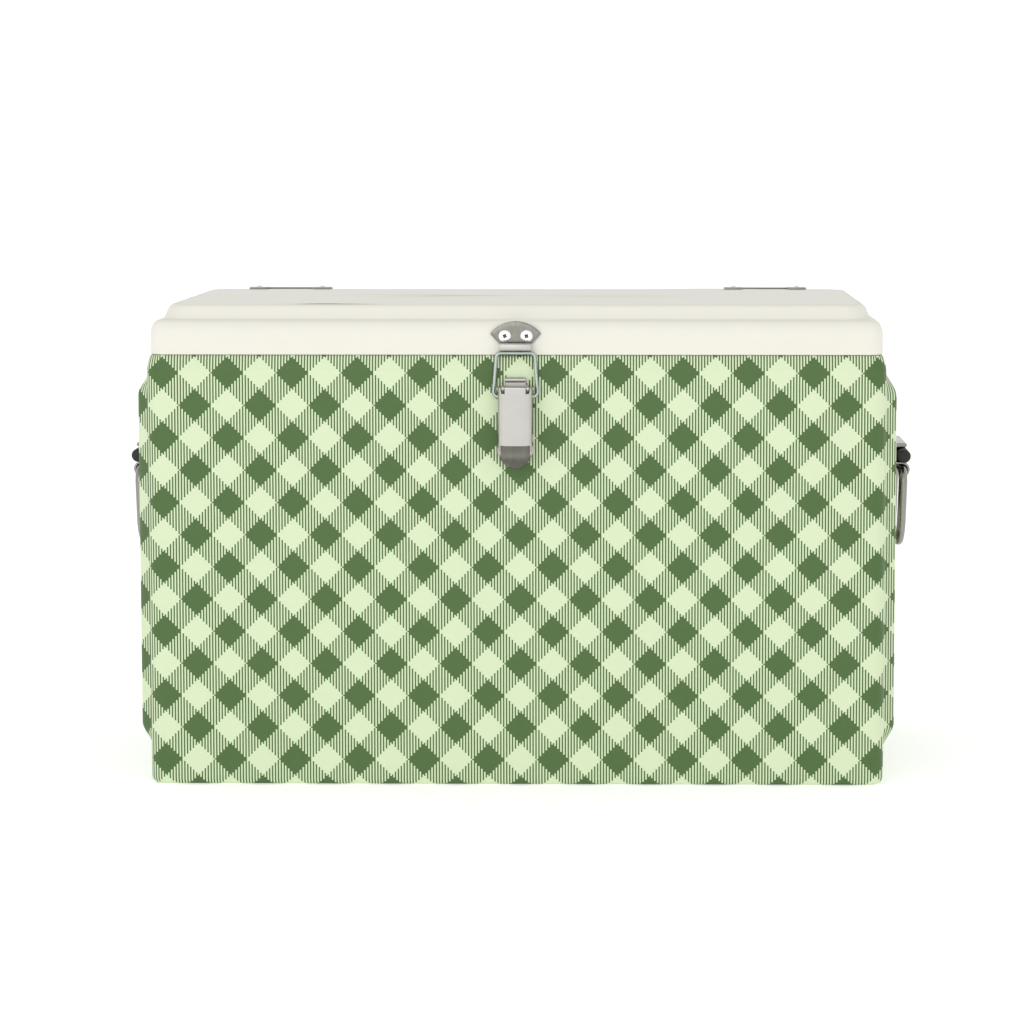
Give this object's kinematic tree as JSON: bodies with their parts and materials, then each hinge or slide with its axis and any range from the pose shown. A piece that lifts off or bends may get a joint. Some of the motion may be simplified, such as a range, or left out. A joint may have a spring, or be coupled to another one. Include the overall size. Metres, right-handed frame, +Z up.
{
  "type": "insulated cooler chest",
  "caption": "Steel-shelled cooler chest with gingham print, stepped hinged lid, front draw latch, end drop handles and an insulated tub.",
  "frame": {"origin": "centre of the body's base, on the floor", "axes": "+X towards the right-hand end, -Y towards the front with the latch, +Z up"},
  "size_m": [0.6384, 0.359, 0.3836],
  "materials": {
    "printed_steel": "bias gingham print in two greens on enamelled sheet steel",
    "pan_steel": "plain green enamel",
    "cream_enamel": "cream enamel, satin gloss",
    "foam": "foamed-in insulation",
    "liner_plastic": "white moulded plastic, soft gloss",
    "seal_rubber": "soft black rubber",
    "hinge_steel": "zinc-plated steel",
    "latch_steel": "brushed stainless sheet",
    "keeper_steel": "polished stainless sheet",
    "wire_steel": "bright drawn wire",
    "screw_steel": "bright plated screws",
    "rivet_steel": "dull rivet heads",
    "handle_chrome": "chrome plate with fine brushing",
    "stop_rubber": "black moulded rubber",
    "drain_plastic": "white moulded plastic"
  },
  "bodies": {
    "chest": {"body_shell": "printed_steel", "bottom_pan": "pan_steel", "body_foam": "foam", "inner_liner": "liner_plastic", "hinge_body_leaf_left": "hinge_steel", "hinge_body_leaf_right": "hinge_steel", "hinge_pin_left": "hinge_steel", "hinge_pin_right": "hinge_steel", "hinge_body_screws": "rivet_steel", "latch_base": "latch_steel", "latch_base_rivets": "rivet_steel", "latch_pin": "rivet_steel", "handle_bracket_left": "handle_chrome", "handle_bracket_right": "handle_chrome", "handle_rivets_left": "rivet_steel", "handle_rivets_right": "rivet_steel", "handle_stop_left": "stop_rubber", "handle_stop_right": "stop_rubber", "drain_tube": "drain_plastic", "drain_washer": "seal_rubber", "drain_nut": "drain_plastic"},
    "lid": {"lid_shell": "cream_enamel", "lid_foam": "foam", "lid_liner": "liner_plastic", "lid_gasket": "seal_rubber", "hinge_lid_leaf_left": "hinge_steel", "hinge_lid_leaf_right": "hinge_steel", "hinge_lid_screws": "rivet_steel", "keeper": "keeper_steel", "keeper_screws": "screw_steel"},
    "lever": {"latch_lever": "latch_steel"},
    "draw_loop": {"latch_wire": "wire_steel"},
    "left_handle": {"bail_left": "handle_chrome"},
    "right_handle": {"bail_right": "handle_chrome"},
    "plug": {"drain_plug": "stop_rubber"}
  },
  "joints": [
    {"name": "lid_hinge", "type": "hinge", "parent": "chest", "child": "lid", "pos_m": [0, 0.1684, 0.341], "axis": [-1, 0, 0], "range_deg": [0, 100]},
    {"name": "lever_hinge", "type": "hinge", "parent": "chest", "child": "lever", "pos_m": [0, -0.174, 0.3155], "axis": [-1, 0, 0], "range_deg": [0, 160]},
    {"name": "loop_hinge", "type": "hinge", "parent": "lever", "child": "draw_loop", "pos_m": [0, -0.17, 0.3095], "axis": [-1, 0, 0], "range_deg": [-160, 0]},
    {"name": "left_handle_hinge", "type": "hinge", "parent": "chest", "child": "left_handle", "pos_m": [-0.3127, 0, 0.24], "axis": [0, 1, 0], "range_deg": [0, 120]},
    {"name": "right_handle_hinge", "type": "hinge", "parent": "chest", "child": "right_handle", "pos_m": [0.3127, 0, 0.24], "axis": [0, -1, 0], "range_deg": [0, 120]},
    {"name": "drain_plug_slide", "type": "slide", "parent": "chest", "child": "plug", "axis": [0, 1, 0], "range_m": [0, 0.02]}
  ],
  "couplings": [
    {"joint": "loop_hinge", "follows": "lever_hinge", "ratio": -1}
  ]
}
